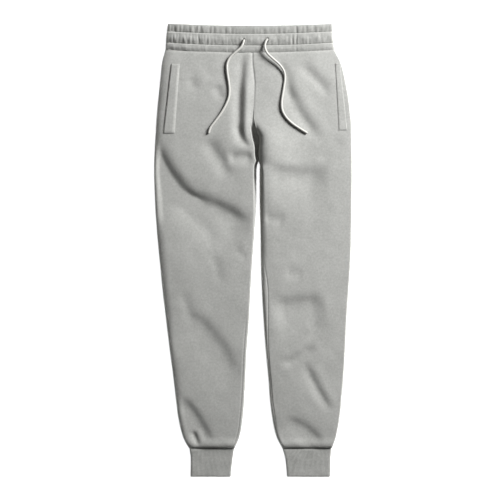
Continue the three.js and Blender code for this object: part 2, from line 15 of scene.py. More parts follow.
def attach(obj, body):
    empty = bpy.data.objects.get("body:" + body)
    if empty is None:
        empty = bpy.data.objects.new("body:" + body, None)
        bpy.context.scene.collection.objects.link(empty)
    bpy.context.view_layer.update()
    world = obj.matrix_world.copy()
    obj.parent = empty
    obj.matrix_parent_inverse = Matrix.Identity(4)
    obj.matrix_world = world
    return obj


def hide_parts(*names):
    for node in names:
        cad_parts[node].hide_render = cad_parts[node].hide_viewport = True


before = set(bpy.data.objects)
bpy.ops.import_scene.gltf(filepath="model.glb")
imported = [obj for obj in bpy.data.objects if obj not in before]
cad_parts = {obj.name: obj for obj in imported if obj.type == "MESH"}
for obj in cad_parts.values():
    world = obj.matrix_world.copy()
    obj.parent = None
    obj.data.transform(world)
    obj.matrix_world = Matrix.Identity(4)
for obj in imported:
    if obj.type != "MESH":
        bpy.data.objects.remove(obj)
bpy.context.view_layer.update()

print("nodes:", sorted(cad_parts))

# %% [markdown]
# ## Units and directions
# A garment maker works in millimetres, so every size below is in millimetres and is turned to metres
# only when a mesh is made. "down" is the distance from the top of the waistband along the garment.
# Right and left are the wearer's, so the right leg lies on the side where x is negative.

# %% Sizes and the step from millimetres to metres
MM = 0.001
LENGTH = 1020
BAND_HEIGHT = 59.5
CUFF_TOP = 956.5
CROTCH = 310
WAYS = {"right": -1, "left": 1}


def place(x, down, z):
    """Points in metres from x, the distance down and the height, as numbers or arrays."""
    x, down, z = np.broadcast_arrays(x, down, z)
    return np.stack([x, LENGTH / 2 - down, z], axis=-1) * MM


print("garment length:", LENGTH * MM, "m")

# %% [markdown]
# ## Camera
# Flat-lay photographs are taken from straight above with a long lens, which keeps the outline free of
# perspective. The distance follows from the width of the picture, because a lens of 100 mm on a sensor of
# 36 mm sees 0.36 m of width for each metre of distance.

# %% Camera straight above
PICTURE_WIDTH = 1125
PICTURE_CENTRE_X = -7.3
SHOT_HEIGHT = 6
LENS = 100
SENSOR = 36

camera_data = bpy.data.cameras.new("camera")
camera_data.lens = LENS
camera_data.sensor_width = SENSOR
camera = bpy.data.objects.new("camera", camera_data)
camera.location = (
    PICTURE_CENTRE_X * MM,
    0,
    (SHOT_HEIGHT + PICTURE_WIDTH * LENS / SENSOR) * MM,
)
bpy.context.scene.collection.objects.link(camera)
bpy.context.scene.camera = camera
print("camera height:", round(camera.location.z, 3), "m")

# %% [markdown]
# ## Meshes from grids of points
# A cloth wall is two grids of points, the face and the inside, joined round their rim. Numpy makes the
# grids at once from formulas, which is quicker and cleaner than moving vertices one by one. The grids
# are stacked into one loop of rows, face first and inside last, so that all faces turn the same way.


# %% Mesh helpers
def quads(grid):
    """The faces of a grid of vertex numbers."""
    corners = [grid[:-1, :-1], grid[1:, :-1], grid[1:, 1:], grid[:-1, 1:]]
    return np.stack(corners, axis=-1).reshape(-1, 4)


def mesh_object(name, points, faces, sharp=50):
    """An object at the origin from points in metres, smooth but for edges sharper than an angle."""
    mesh = bpy.data.meshes.new(name)
    mesh.from_pydata(points.reshape(-1, 3).tolist(), [], [list(face) for face in faces])
    mesh.validate()
    mesh.shade_smooth()
    mesh.set_sharp_from_angle(angle=math.radians(sharp))
    piece = bpy.data.objects.new(name, mesh)
    bpy.context.scene.collection.objects.link(piece)
    return piece


def volume(points, faces):
    """Signed volume inside a closed mesh, positive where its faces point out."""
    triangles = np.vstack([faces[:, [0, 1, 2]], faces[:, [0, 2, 3]]])
    a, b, c = (points[triangles[:, k]] for k in range(3))
    return np.einsum("ij,ij->i", a, np.cross(b, c)).sum() / 6


def shell(name, outer, inner, closed=False):
    """A closed wall between two grids. A closed ring joins its last column to its first."""
    columns = outer.shape[1]
    points = np.vstack([outer.reshape(-1, 3), inner.reshape(-1, 3)])
    face = np.arange(outer.shape[0] * columns).reshape(-1, columns)
    inside = face.size + np.arange(inner.shape[0] * columns).reshape(-1, columns)
    if closed:
        face = np.hstack([face, face[:, :1]])
        inside = np.hstack([inside, inside[:, :1]])
    faces = [quads(np.vstack([face, inside[::-1], face[:1]]))]
    if not closed:
        faces.append(quads(np.stack([face[:, -1], inside[:, -1]], axis=1)))
        faces.append(quads(np.stack([inside[:, 0], face[:, 0]], axis=1)))
    faces = np.vstack(faces)
    if volume(points, faces) < 0:
        faces = faces[:, ::-1]
    return mesh_object(name, points, faces)


def inside_of(points, thickness):
    """The grid moved inwards by a thickness, along the way the cloth faces."""
    along = np.gradient(points, axis=0)
    across = np.gradient(points, axis=1)
    facing = np.cross(across, along)
    facing /= np.linalg.norm(facing, axis=-1, keepdims=True)
    if facing[..., 2].mean() < 0:
        facing = -facing
    return points - facing * thickness * MM


# %% [markdown]
# ## Drawcord
# The drawcord is a 5 mm braid of white cotton. It runs hidden inside the waistband, and its two ends come
# out of buttonholes and lie on the fronts. A curve with a bevel would give a smooth tube, but a braid is
# lumpy, so the tube is swept in code and its radius rises and falls where the strands cross.
# The routes are the listed points of the model.

# %% Cord routes and the curve through them
CORD_DIAMETER = 5
CORD_ROUTES = {
    "right": [
        (-20.8, 38, 14.2), (-22.6, 46, 16.2), (-27.5, 55, 16.8), (-38.8, 65.5, 16.4), (-52.8, 79.2, 15.8),
        (-58.6, 92.9, 15.8), (-58.2, 112, 16.5), (-55.2, 132.5, 17.2), (-53.4, 151.7, 17.5),
        (-54.8, 167, 17.9), (-61.3, 184.3, 18.5), (-73.2, 205, 19), (-87.2, 223.9, 19.3),
        (-96, 236, 19.3), (-100, 248, 19.3),
    ],
    "left": [
        (31.6, 36, 14.2), (27.4, 45, 16.2), (26.2, 56, 18.2), (31.6, 68.9, 19.4), (43.8, 81, 19.2),
        (59.3, 94.7, 17.6), (68.7, 108.5, 16), (71.2, 124, 15.4), (68.7, 144.7, 16.1), (65.1, 167, 17.7),
        (63.6, 181, 18.8), (65.1, 196.2, 19.6), (73, 211.7, 20), (86.7, 225.7, 20), (104.1, 237.6, 19.1),
        (121.2, 248, 17.8),
    ],
}


def curve_through(points, steps=24):
    """A centripetal Catmull-Rom curve, which passes through its points without loops."""
    points = np.array(points, dtype=float)
    first = 2 * points[0] - points[1]
    last = 2 * points[-1] - points[-2]
    points = np.vstack([first, points, last])
    t = np.linspace(0, 1, steps, endpoint=False)[:, None]
    spans = []
    for a, b, c, d in zip(points, points[1:], points[2:], points[3:]):
        before, here, after = (math.sqrt(np.linalg.norm(q - p)) for p, q in ((a, b), (b, c), (c, d)))
        leave = here * ((b - a) / before - (c - a) / (before + here) + (c - b) / here)
        arrive = here * ((c - b) / here - (d - b) / (here + after) + (d - c) / after)
        spans.append(
            (2 * t**3 - 3 * t**2 + 1) * b
            + (t**3 - 2 * t**2 + t) * leave
            + (3 * t**2 - 2 * t**3) * c
            + (t**3 - t**2) * arrive
        )
    return np.vstack(spans + [points[-2:-1]])


def evenly(path, spacing):
    """The path with its points a given distance apart, and how far along each one is."""
    lengths = np.append(0, np.cumsum(np.linalg.norm(np.diff(path, axis=0), axis=1)))
    at = np.linspace(0, lengths[-1], int(lengths[-1] / spacing) + 1)
    return np.stack([np.interp(at, lengths, path[:, k]) for k in range(3)], axis=1), at


# %% Braided tube
CORD_SIDES = 24
CORD_RING_SPACING = 0.45
BRAID_STRANDS = 6
BRAID_RISE = 0.24
CORD_TIP = 3.5


def tube(name, path, radius_at, sides):
    """A closed tube in metres along a path in metres. radius_at gives its radius from the angle."""
    tangent = np.gradient(path, axis=0)
    tangent /= np.linalg.norm(tangent, axis=1, keepdims=True)
    side = np.cross(tangent, [0, 0, 1])
    side /= np.linalg.norm(side, axis=1, keepdims=True)
    up = np.cross(side, tangent)
    angle = np.linspace(0, 2 * math.pi, sides, endpoint=False)
    radius = radius_at(angle)[..., None]
    ring = np.cos(angle)[None, :, None] * side[:, None] + np.sin(angle)[None, :, None] * up[:, None]
    points = (path[:, None] + ring * radius).reshape(-1, 3)
    grid = np.arange(len(points)).reshape(len(path), sides)
    faces = quads(np.hstack([grid, grid[:, :1]])).tolist()
    start, end = len(points), len(points) + 1
    points = np.vstack([points, path[0], path[-1]])
    for k in range(sides):
        following = (k + 1) % sides
        faces.append([start, grid[0, k], grid[0, following]])
        faces.append([end, grid[-1, following], grid[-1, k]])
    return mesh_object(name, points, faces, sharp=75)


def drawcord(side):
    """One free end of the cord, with its path and its length."""
    route = place(*np.array(CORD_ROUTES[side]).T)
    path, at = evenly(curve_through(route), CORD_RING_SPACING * MM)
    turns = BRAID_STRANDS * at / (CORD_DIAMETER / 2 * MM)
    left = (at[-1] - at) / (CORD_TIP * MM)
    tip = 0.8 + 0.2 * np.clip(left, 0, 1) ** 0.5

    def radius_at(angle):
        one_way = np.cos(BRAID_STRANDS * angle[None] + turns[:, None])
        other_way = np.cos(BRAID_STRANDS * angle[None] - turns[:, None])
        relief = BRAID_RISE * (np.maximum(one_way, other_way) - 0.6)
        return (CORD_DIAMETER / 2 + relief) * tip[:, None] * MM

    return tube(f"braid_{side}", path, radius_at, CORD_SIDES), path, at[-1]


cords = {side: drawcord(side) for side in WAYS}
for side, (cord, path, cord_length) in cords.items():
    print(cord.name, "is", round(cord_length, 3), "m long")

# %% [markdown]
# ## Light and floor
# The photograph is lit by one large lamp to the upper right, low enough to draw the folds, with a weak
# fill from everywhere. An area light gives the soft edge of its shadows, and being near it also makes the
# upper right brighter than the lower left, which a small weak lamp beside the hip adds to. The floor is
# plain and pale. A third lamp, linked to the floor alone, washes out the garment's shadow on it, as a
# cut-out background does.

# %% Lamps, world and floor
KEY_PLACE = (2.3, 1.92, 1.8)
KEY_SIZE = 1.3
KEY_POWER = 227
NEAR_PLACE = (0.66, 0.62, 0.4)
NEAR_SIZE = 0.3
NEAR_POWER = 1.2
FILL_STRENGTH = 0.08
FLOOR_DROP = 0.4
FLOOR_SIZE = 12


def lamp(name, location, size, power, aim=(0, 0, 0)):
    """A square area light that points at a place."""
    data = bpy.data.lights.new(name, "AREA")
    data.shape = "SQUARE"
    data.size = size
    data.energy = power
    light = bpy.data.objects.new(name, data)
    light.location = location
    direction = Vector(aim) - Vector(location)
    light.rotation_euler = direction.to_track_quat("-Z", "Y").to_euler()
    bpy.context.scene.collection.objects.link(light)
    return light


lamp("key_light", KEY_PLACE, KEY_SIZE, KEY_POWER)
lamp("near_light", NEAR_PLACE, NEAR_SIZE, NEAR_POWER, aim=(0.1, 0.3, 0))

world = bpy.data.worlds.new("studio")
world.use_nodes = True
world.node_tree.nodes["Background"].inputs["Strength"].default_value = FILL_STRENGTH
world.node_tree.nodes["Background"].inputs["Color"].default_value = (1, 1, 1, 1)
bpy.context.scene.world = world
bpy.context.scene.view_settings.view_transform = "Standard"

half = FLOOR_SIZE / 2
corners = np.array([(-half, -half), (half, -half), (half, half), (-half, half)])
floor = mesh_object(
    "floor",
    np.column_stack([corners, np.full(4, -FLOOR_DROP * MM)]),
    [(0, 1, 2, 3)],
)

wash = lamp("floor_wash", (0, 0, 4), 4, 260)
only_floor = bpy.data.collections.new("lit_by_wash")
only_floor.objects.link(floor)
wash.light_linking.receiver_collection = only_floor
wash.light_linking.blocker_collection = bpy.data.collections.new("shades_wash")
print("key light at", KEY_PLACE)

# %% [markdown]
# ## Materials
# Cloth is made of fibres, so its colour is never even. Heather fleece is spun from pale and dark fibres,
# which gives a fine grey fleck, and its brushed face scatters light, which takes away all gloss.
# One function adds a node with its settings and its links, and each material is a short list of calls.


# %% Colour and node helpers
def linear(code):
    """A linear colour from an sRGB hex code."""
    values = [int(code[k : k + 2], 16) / 255 for k in (1, 3, 5)]
    return [v / 12.92 if v <= 0.04045 else ((v + 0.055) / 1.055) ** 2.4 for v in values] + [1]


def add(tree, kind, settings=(), links=(), values=()):
    """A node with its settings, the sockets that feed it and the values of its other inputs."""
    node = tree.nodes.new(kind)
    for name, value in dict(settings).items():
        setattr(node, name, value)
    for name, value in dict(values).items():
        node.inputs[name].default_value = value
    for name, socket in dict(links).items():
        tree.links.new(socket, node.inputs[name])
    return node


def blank_material(name, **surface):
    """A material with a Principled surface, its tree and that surface."""
    material = bpy.data.materials.new(name)
    material.use_nodes = True
    tree = material.node_tree
    principled = tree.nodes["Principled BSDF"]
    for socket, value in surface.items():
        principled.inputs[socket.replace("_", " ")].default_value = value
    return material, tree, principled


# %% [markdown]
# Knitted cotton fleece: matt, a little sheen from its nap, and a fleck of about 1.5 mm, drawn out along
# the wales. Real fibres are far thinner, but the fleck is made of bundles of them and has to show
# in the picture. A slow variation of 60 mm stands for how the nap lies.

# %% Heather cloth
FLECK = 1.5
MOTTLE = 5
NAP = 60
FIBRE = 0.5
WALE = 1.3


def heather(name, dark, light, nap_relief, wale_relief):
    """Heathered knit from its dark and light yarn colours."""
    material, tree, principled = blank_material(
        name, Roughness=0.95, Sheen_Weight=0.12, Sheen_Roughness=0.6, Specular_IOR_Level=0.15
    )
    where = add(tree, "ShaderNodeTexCoord").outputs["Object"]
    drawn = add(tree, "ShaderNodeMapping", links={"Vector": where}, values={"Scale": (1, 0.4, 1)}).outputs[0]
    fleck = add(tree, "ShaderNodeTexNoise", links={"Vector": drawn},
                values={"Scale": 1 / (FLECK * MM), "Detail": 3, "Roughness": 0.7})
    mottle = add(tree, "ShaderNodeTexNoise", links={"Vector": where},
                 values={"Scale": 1 / (MOTTLE * MM), "Detail": 2, "Roughness": 0.6})
    nap = add(tree, "ShaderNodeTexNoise", links={"Vector": where},
              values={"Scale": 1 / (NAP * MM), "Detail": 2, "Roughness": 0.5})
    both = add(tree, "ShaderNodeMath", {"operation": "ADD"}, {0: fleck.outputs[0], 1: mottle.outputs[0]})
    all_three = add(tree, "ShaderNodeMath", {"operation": "MULTIPLY_ADD"},
                    {0: nap.outputs[0], 2: both.outputs[0]}, {1: 0.5})
    share = add(tree, "ShaderNodeMapRange", links={"Value": all_three.outputs[0]},
                values={"From Min": 0.65, "From Max": 1.85})
    yarn = add(tree, "ShaderNodeMix", {"data_type": "RGBA"}, {"Factor": share.outputs[0]},
               {6: linear(dark), 7: linear(light)})
    tree.links.new(yarn.outputs[2], principled.inputs["Base Color"])
    fibre = add(tree, "ShaderNodeTexNoise", links={"Vector": drawn},
                values={"Scale": 1 / (FIBRE * MM), "Detail": 2, "Roughness": 0.6})
    wales = add(tree, "ShaderNodeTexWave", {"bands_direction": "X"}, {"Vector": where},
                {"Scale": 1 / (WALE * MM) / 3.2, "Distortion": 1.5, "Detail": 1, "Detail Scale": 2})
    fuzz = add(tree, "ShaderNodeBump", links={"Height": fibre.outputs[0]},
               values={"Strength": 0.6, "Distance": nap_relief * MM})
    knit = add(tree, "ShaderNodeBump", links={"Height": wales.outputs["Fac"], "Normal": fuzz.outputs[0]},
               values={"Strength": 0.5, "Distance": wale_relief * MM})
    tree.links.new(knit.outputs[0], principled.inputs["Normal"])
    return material


fleece = heather("brushed_cotton_fleece", "#92938F", "#B9B9B6", nap_relief=0.4, wale_relief=0.12)
rib_knit = heather("cotton_rib_knit", "#8E8F8B", "#B5B5B2", nap_relief=0.25, wale_relief=0.14)
print("cloths:", fleece.name, rib_knit.name)

# %% [markdown]
# The cord is mercerised cotton braid: white, a little glossier than fleece. Sewing thread is spun
# polyester in the cloth's own grey, with a slight shine that lets a stitch catch the light.


# %% Cord, thread and floor
def plain_yarn(name, colour, roughness, grain, relief):
    """A spun yarn of one colour with a fine twisted grain."""
    material, tree, principled = blank_material(
        name, Base_Color=linear(colour), Roughness=roughness, Sheen_Weight=0.1, Specular_IOR_Level=0.3
    )
    where = add(tree, "ShaderNodeTexCoord").outputs["Object"]
    strands = add(tree, "ShaderNodeTexNoise", links={"Vector": where},
                  values={"Scale": 1 / (grain * MM), "Detail": 2})
    bump = add(tree, "ShaderNodeBump", links={"Height": strands.outputs[0]},
               values={"Strength": 0.5, "Distance": relief * MM})
    tree.links.new(bump.outputs[0], principled.inputs["Normal"])
    return material


braid = plain_yarn("braided_cotton_cord", "#C4C3BE", roughness=0.75, grain=0.4, relief=0.15)
thread = plain_yarn("spun_polyester_thread", "#9C9C99", roughness=0.6, grain=0.3, relief=0.08)
paper, _, _ = blank_material("matt_white_paper", Base_Color=linear("#EDEDED"), Roughness=0.9)
floor.data.materials.append(paper)
for cord, _, _ in cords.values():
    cord.data.materials.append(braid)

# %% [markdown]
# ## The outline, read from the model
# The fronts must cover the model's fronts exactly, so their side edges are read from its vertices. They
# lie at the height of the seams. A monotone cubic curve through them takes away the corners between
# the model's rows and never swings past them.

# %% Curves through tables
SEAM_HEIGHT = 4.75


def track(at, values):
    """A function that follows values smoothly and stays level beyond both ends."""
    at, values = np.asarray(at, float), np.asarray(values, float)
    span = np.diff(at)
    rise = np.diff(values) / span
    product = rise[:-1] * rise[1:]
    total = rise[:-1] + rise[1:]
    middle = np.where(product > 0, 2 * product / np.where(total == 0, 1, total), 0)
    slope = np.concatenate([rise[:1], middle, rise[-1:]])

    def value(where):
        where = np.clip(where, at[0], at[-1])
        k = np.clip(np.searchsorted(at, where, side="right") - 1, 0, len(span) - 1)
        t = (where - at[k]) / span[k]
        start = (1 + 2 * t) * (1 - t) ** 2 * values[k] + t * (1 - t) ** 2 * span[k] * slope[k]
        end = t**2 * (3 - 2 * t) * values[k + 1] + t**2 * (t - 1) * span[k] * slope[k + 1]
        return start + end

    return value


def model_points(node):
    """A model node's vertices as x, distance down and height, in millimetres."""
    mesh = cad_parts[node].data
    points = np.empty(3 * len(mesh.vertices))
    mesh.vertices.foreach_get("co", points)
    x, y, z = points.reshape(-1, 3).T / MM
    return x, LENGTH / 2 - y, z


def edge_of(side, outer):
    """x of a front's outer or inner seam edge, against the distance down."""
    way = WAYS[side]
    x, down, z = model_points(f"front_{side}")
    between_legs = 100
    on_edge = (abs(z - SEAM_HEIGHT) < 0.02) & ((way * x > between_legs) == outer)
    rows = {}
    for edge_x, row in zip(way * x[on_edge], np.round(down[on_edge], 2)):
        pick = max if outer else min
        rows[row] = pick(rows.get(row, edge_x), edge_x)
    downs = sorted(rows)
    return track(downs, [way * rows[row] for row in downs])


outer_edge = {side: edge_of(side, True) for side in WAYS}
inseam = {side: edge_of(side, False) for side in WAYS}
print("hips across:", round(float(outer_edge["left"](330) - outer_edge["right"](330)), 1), "mm")

# %% [markdown]
# ## The shape of the fronts
# Heavy fleece doesn't crease. It buckles in soft troughs with a rounded lip above, and where a leg is
# full it sags in wide banks, which drop away from the lamp and rise again slowly. One formula makes
# a trough and one a bank between two points, and two short tables place them as the photograph shows.
# The crotch is a deep pit, because the legs' rolls meet there and the seam is drawn in. Its walls are
# tucked under the rolls' lips, so that little light gets in.

# %% Tables of the fronts
CENTRE_SEAM = track(
    [59.5, 78, 118, 136, 206, 219, 240, 258, 276, 296, 310],
    [-2, -1.9, 1.5, 2.8, 1.7, 0.6, -1.7, 0.6, 5.1, 8.4, 12.2],
)
INNER_ROUND = {
    "right": track([200, 228, 249, 267, 285, 307, 420, 470], [9, 7, 4.5, 4.5, 5.5, 8, 6, 4]),
    "left": track([200, 221, 242, 255, 270, 282, 307, 345, 520, 600], [6, 5, 13, 16, 13, 9, 5, 11, 15, 8]),
}
FOLD_COLUMNS = ("from_x", "from_down", "to_x", "to_down", "bow", "depth", "left", "right", "lip")
FOLD_ROWS = [
    (-24, 62, -32, 262, 2, 2.6, 12, 7.5, 2.6),
    (-33, 130, -32, 270, 1, 2.6, 13, 9.5, 1.2),
    (-34, 226, -12, 280, 5, 3.6, 10, 8, 0.3),
    (-54, 303, -2, 301, 0, 4.2, 15, 12, 0.5),
    (-109, 262, -56, 345, -2, 3.6, 18, 15, 0.6),
    (-150, 420, -80, 500, 0, 1.6, 16, 18, 0.5),
    (-40, 508, -16, 530, 0, 1, 9, 9, 0.2),
    (-92, 515, -72, 585, 0, 1.2, 11, 12, 0.3),
    (-160, 605, -138, 672, 0, 1.4, 12, 14, 0.4),
    (-137, 918, -124, 948, 0, 3.2, 6, 6, 1.2),
    (-143, 122, -130, 150, 0, 1.8, 11, 12, 0.4),
    (-84, 142, -72, 172, 0, 1.8, 11, 10, 0.4),
    (58, 80, 84, 172, -3, 2, 10, 10, 0.6),
    (70, 140, 142, 258, 4, 3.4, 15, 13, 1.2),
    (108, 92, 168, 158, 0, 2.8, 13, 13, 0.8),
    (204, 262, 146, 312, 0, 1.4, 12, 10, 0.4),
    (26, 438, 68, 444, 0, 1.8, 13, 14, 0.5),
    (74, 560, 110, 566, 0, 1.2, 13, 13, 0.3),
    (68, 768, 136, 724, 3, 2.6, 11, 9, 1),
    (116, 768, 170, 868, 2, 2.6, 12, 9, 0.9),
]
FOLDS = [dict(zip(FOLD_COLUMNS, row)) for row in FOLD_ROWS]
BANK_COLUMNS = ("from_x", "from_down", "to_x", "to_down", "bow", "depth", "width", "reach")
BANK_ROWS = [
    (-214, 268, -114, 404, 12, 11.5, 12, 100),
    (-150, 382, -10, 442, -8, 10.5, 12, 80),
    (-138, 648, -32, 794, -16, 5.8, 13, 80),
    (-156, 838, -92, 938, -5, 5.4, 8.5, 45),
    (34, 316, 160, 330, 8, 8, 14, 55),
    (46, 626, 152, 614, 0, 6.8, 12, 70),
    (78, 885, 156, 938, -7, 5.2, 9, 40),
]
BANKS = [dict(zip(BANK_COLUMNS, row)) for row in BANK_ROWS]

LOOSE_TOP = track([59.5, 90, 150, 260, 860, 930], [10.6, 12.4, 14.4, 15.6, 15.2, 13.6])
PRESSED_TOP = 6.2
CLOTH = 3
BACK_TOP = 3.3
SIDE_ROUND = {"right": 18, "left": 4}
EDGE_FALL = {"right": 2.4, "left": 0.4}
EDGE_REACH = 26
BAND_SAG = 6.5
SAG_FADES_BY = 150
ROLL = {
    "down": 280, "rises": {"right": 5.5, "left": 13.5}, "above": 62, "below": 120, "from": 22, "across": 55,
}
PIT_START = 213
PIT_END = 262
PIT_FLOOR = 3.6
PIT_FADES = {"right": (330, 430), "left": (300, 330)}
PIT_TUCK = {"right": 12, "left": 12}
PIT_ROUND = 2.5
PIT_LIP = {"right": 0, "left": 9}
PIT_LIP_REACH = 7


# %% Heights of the fronts
def ease(low, high, value):
    """0 below low, 1 above high and a smooth step between them."""
    t = np.clip((value - low) / (high - low), 0, 1)
    return t * t * (3 - 2 * t)


def ripple(x, down, size, seed):
    """Gentle uneven waves of a given size in millimetres, from -1 to 1."""
    x, down = np.broadcast_arrays(x, down)
    flat = zip((x / size).ravel(), (down / size).ravel())
    return np.reshape([noise.noise((a, b, seed)) for a, b in flat], x.shape)


def off_line(row, x, down):
    """Distance to the lower left of a bowed line, and 1 beside it with a fade to 0 at its ends."""
    run_x = row["to_x"] - row["from_x"]
    run_down = row["to_down"] - row["from_down"]
    length = math.hypot(run_x, run_down)
    along = ((x - row["from_x"]) * run_x + (down - row["from_down"]) * run_down) / length**2
    t = np.clip(along, 0, 1)
    across = ((down - row["from_down"]) * run_x - (x - row["from_x"]) * run_down) / length
    ends = ease(-0.12, 0.25, along) * (1 - ease(0.75, 1.12, along))
    return across - row["bow"] * 4 * t * (1 - t), ends


def fold_height(fold, x, down):
    """What one fold adds: a trough along its line, with a lip on its right."""
    off, ends = off_line(fold, x, down)
    width = np.where(off > 0, fold["left"], fold["right"])
    trough = fold["depth"] * np.exp(-((off / width) ** 2))
    lip = fold["lip"] * np.exp(-(((off + 2 * fold["right"]) / (1.2 * fold["right"])) ** 2))
    return ends * (lip - trough)


def bank_height(bank, x, down):
    """What one bank adds: a drop along its line, and a slow rise to the lower left of it."""
    off, ends = off_line(bank, x, down)
    fallen = 0.5 + 0.5 * np.tanh(off / bank["width"])
    return -bank["depth"] * ends * fallen * np.exp(-((np.maximum(off, 0) / bank["reach"]) ** 2))


def inner_edge(side, down):
    """x of a front's inner edge: the centre seam, and the inseam below the crotch."""
    return np.where(down > CROTCH, inseam[side](down), CENTRE_SEAM(down))


def top_height(side, x, down):
    """Height of a front's face, away from its rounded sides."""
    relief = sum(fold_height(fold, x, down) for fold in FOLDS)
    relief = relief + sum(bank_height(bank, x, down) for bank in BANKS)
    fade = 18
    from_outer = abs(outer_edge[side](down) - x)
    from_inner = abs(inner_edge(side, down) - x)
    near_crotch = ease(PIT_START, CROTCH, down)
    relief = relief * ease(0, fade, from_outer) * (1 + (ease(0, fade, from_inner) - 1) * near_crotch)
    below_crotch = ease(CROTCH - 30, CROTCH + 60, down)
    other = "left" if side == "right" else "right"
    fall = EDGE_FALL[side] * np.exp(-from_outer / EDGE_REACH)
    fall = fall + EDGE_FALL[other] * below_crotch * np.exp(-from_inner / EDGE_REACH)
    away = abs(x - inner_edge(side, down)) - ROLL["from"]
    reach = np.where(down < ROLL["down"], ROLL["above"], ROLL["below"])
    nearness = ((down - ROLL["down"]) / reach) ** 2 + (away / ROLL["across"]) ** 2
    roll = ROLL["rises"][side] * np.exp(-nearness)
    waves = 0.8 * ripple(x, down, 62, 3) + 0.35 * ripple(x, down, 24, 8)
    height = LOOSE_TOP(down) - fall + roll + relief + waves
    softness = 0.4
    return PRESSED_TOP + softness * np.log1p(np.exp((height - PRESSED_TOP) / softness))


# %% [markdown]
# Seams pull the cloth down into a narrow groove. The body meets the waistband in such a groove, the
# centre seam fades as it nears the crotch, and the legs' inseams show a little way in from their edges.
# At the ankles the full leg is eased into the narrow rib, so it puffs out before it drops to the seam.

# %% Seams and ends of the fronts
INSEAM_SHIFT = {
    "left": track([520, 600, 700, 780, 880], [5, 13, 7.5, 4.6, 6]),
    "right": track([600, 700, 880], [7.5, 7.5, 7.5]),
}


def seam_groove(distance, depth, width=1.5):
    return -depth * np.exp(-((distance / width) ** 2))


def ends_and_seams(side, x, down, height):
    """The height with the seams' grooves and with the drop at the waistband and the cuff."""
    centre = 1.4 * (1 - 0.75 * ease(110, 200, down)) * (1 - ease(200, PIT_START, down))
    height = height + seam_groove(x - CENTRE_SEAM(down), centre, 2)
    from_inseam = abs(x - inseam[side](down)) - INSEAM_SHIFT[side](down)
    shows = {"left": ease(520, 570, down) * (1 - ease(870, 920, down)), "right": 0.6 * ease(650, 700, down)}
    height = height + seam_groove(from_inseam, 0.9 * shows[side], 1.3)
    to_cuff = CUFF_TOP - down
    puff = 1.8 + 1.4 * ripple(x, 0 * down, 22, 5)
    height = height + puff * np.exp(-(((to_cuff - 12) / 8) ** 2))
    reach = 8
    drop = 1 - np.sqrt(1 - (1 - np.clip(to_cuff / reach, 0, 1)) ** 2)
    height = height - (height - 6) * drop
    to_band = np.clip((down - BAND_HEIGHT) / 6, 0, 1)
    return height - 1.8 * (1 - to_band) ** 2


def body_sag(x, down):
    """How far the lines at the waist hang lower in the middle than at the sides."""
    middle, half_width = -7.1, 190.2
    bow = np.clip(1 - ((x - middle) / half_width) ** 2, 0, 1)
    return BAND_SAG * bow * (1 - ease(BAND_HEIGHT, SAG_FADES_BY, down))


# %% Front panels
FRONT_ROWS = 360
FLAT_COLUMNS = 100
INNER_COLUMNS = 16
OUTER_COLUMNS = 13
CROWDING = 1.35


def front_panel(side):
    """One front as a fine closed wall on the outline of the model's front."""
    way = WAYS[side]
    down = np.linspace(BAND_HEIGHT, CUFF_TOP, FRONT_ROWS)[:, None]
    turn = np.linspace(0, 1, INNER_COLUMNS, endpoint=False)[None]
    inner_turn = turn * math.pi / 2
    outer_turn = np.linspace(math.pi / 2, 0, OUTER_COLUMNS)[None]
    share = np.linspace(0, 1, FLAT_COLUMNS)[None] ** CROWDING
    in_x, out_x = inner_edge(side, down), outer_edge[side](down)
    in_round = INNER_ROUND[side](down)
    flat_start, flat_end = in_x + way * in_round, out_x - way * SIDE_ROUND[side]
    sunk = ease(PIT_START, PIT_END, down) * (1 - ease(*PIT_FADES[side], down))
    tuck = PIT_TUCK[side] * (1 - ease(290, 325, down)) / in_round
    on_floor, up_wall = np.clip(turn / 0.35, 0, 1), np.clip((turn - 0.35) / 0.65, 0, 1)
    rounding = np.minimum(PIT_ROUND / in_round, 0.5) * (1 - ease(0.6, 1, up_wall))
    tucked = (1 + tuck * (1 - ease(0, 0.5, up_wall)) - rounding) * on_floor
    across = (1 - np.cos(inner_turn)) * (1 - sunk) + tucked * sunk
    in_lift = np.sin(inner_turn) * (1 - sunk) + up_wall * sunk
    x = np.hstack([
        in_x + way * in_round * across,
        flat_start + (flat_end - flat_start) * share,
        out_x - way * SIDE_ROUND[side] * (1 - np.cos(outer_turn[:, 1:])),
    ])
    lifted = np.hstack([in_lift, np.ones_like(down * share), np.sin(outer_turn[:, 1:]) + 0 * down])
    top = ends_and_seams(side, x, down, top_height(side, x, down))
    on_top = np.arange(x.shape[1])[None] >= INNER_COLUMNS
    from_lip = np.where(on_top, abs(x - in_x) - in_round, 0)
    top = top - PIT_LIP[side] * sunk * np.exp(-from_lip / PIT_LIP_REACH)
    butted = top[:, :1]
    pit = butted + (PIT_FLOOR - butted) * ease(PIT_START, PIT_END, down)
    in_z = pit + (SEAM_HEIGHT - pit) * ease(290, CROTCH, down)
    edge_z = np.where(on_top, SEAM_HEIGHT, in_z)
    z = edge_z + (top - edge_z) * lifted
    face = place(x, down + body_sag(x, down), z)
    inside = inside_of(face, CLOTH)
    inside[..., 2] = np.maximum(inside[..., 2], BACK_TOP * MM)
    return shell(f"fleece_front_{side}", face, inside)


fronts = {side: front_panel(side) for side in WAYS}
for piece in fronts.values():
    piece.data.materials.append(fleece)
    print(piece.name, len(piece.data.polygons), "faces")

# %% [markdown]
# ## Backs
# The backs lie flat on the floor and only their edges show, where they turn up to meet the fronts. A
# coarse grid is enough for the flat part, and the turned edge gets the same quarter round as the model.

# %% Back panels
BACK_ROWS = 150
BACK_FLAT_COLUMNS = 24
BACK_ROUND = 4.5
BACK_EDGE_HEIGHT = 4.45


